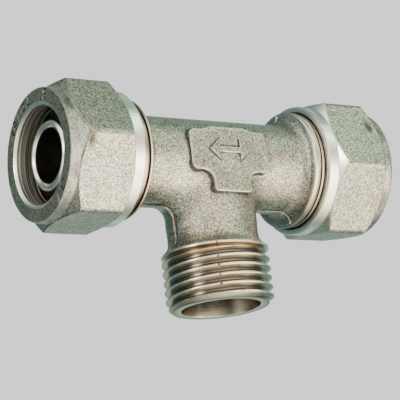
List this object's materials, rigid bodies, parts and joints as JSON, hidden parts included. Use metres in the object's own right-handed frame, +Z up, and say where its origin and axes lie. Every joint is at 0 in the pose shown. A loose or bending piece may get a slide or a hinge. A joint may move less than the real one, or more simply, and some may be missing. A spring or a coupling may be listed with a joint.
{
  "type": "compression pipe tee",
  "caption": "Nickel-plated brass compression tee for multilayer pipe, with a union nut that unscrews at each end of its straight run and a parallel male thread on its branch.",
  "frame": {"origin": "centre of the branch's annular end face, the face that the tee stands on", "axes": "+Z up along the branch axis towards the run, +X along the run towards the right union nut, -Y towards the raised pad"},
  "size_m": [0.073, 0.0294, 0.0425],
  "materials": {
    "body_nickel": "blasted nickel plate, machined and bright at the threads and collars",
    "nut_nickel": "blasted nickel plate with bright turned chamfers",
    "stem_nickel": "turned, bright nickel plate",
    "ring_brass": "turned brass",
    "rubber_seal": "smooth black rubber",
    "washer_plastic": "plain off-white plastic"
  },
  "bodies": {
    "tee": {"tee_body": "body_nickel", "left_stem": "stem_nickel", "left_stem_oring_inner": "rubber_seal", "left_stem_oring_outer": "rubber_seal", "left_seat_oring": "rubber_seal", "left_insulating_washer": "washer_plastic", "right_stem": "stem_nickel", "right_stem_oring_inner": "rubber_seal", "right_stem_oring_outer": "rubber_seal", "right_seat_oring": "rubber_seal", "right_insulating_washer": "washer_plastic"},
    "left_ring_carrier": {"left_split_ring": "ring_brass"},
    "left_nut": {"left_union_nut": "nut_nickel"},
    "right_ring_carrier": {"right_split_ring": "ring_brass"},
    "right_nut": {"right_union_nut": "nut_nickel"}
  },
  "joints": [
    {"name": "left_ring_slide", "type": "slide", "parent": "tee", "child": "left_ring_carrier", "axis": [-1, 0, 0], "range_m": [0, 0.0075]},
    {"name": "left_nut_turn", "type": "hinge", "parent": "left_ring_carrier", "child": "left_nut", "pos_m": [-0.0286, 0, 0.0286], "axis": [-1, 0, 0], "range_deg": [0, 1800]},
    {"name": "right_ring_slide", "type": "slide", "parent": "tee", "child": "right_ring_carrier", "axis": [1, 0, 0], "range_m": [0, 0.0075]},
    {"name": "right_nut_turn", "type": "hinge", "parent": "right_ring_carrier", "child": "right_nut", "pos_m": [0.0286, 0, 0.0286], "axis": [1, 0, 0], "range_deg": [0, 1800]}
  ],
  "couplings": [
    {"joint": "left_ring_slide", "follows": "left_nut_turn", "m_per_rad": 0.00023873},
    {"joint": "right_ring_slide", "follows": "right_nut_turn", "m_per_rad": 0.00023873}
  ]
}
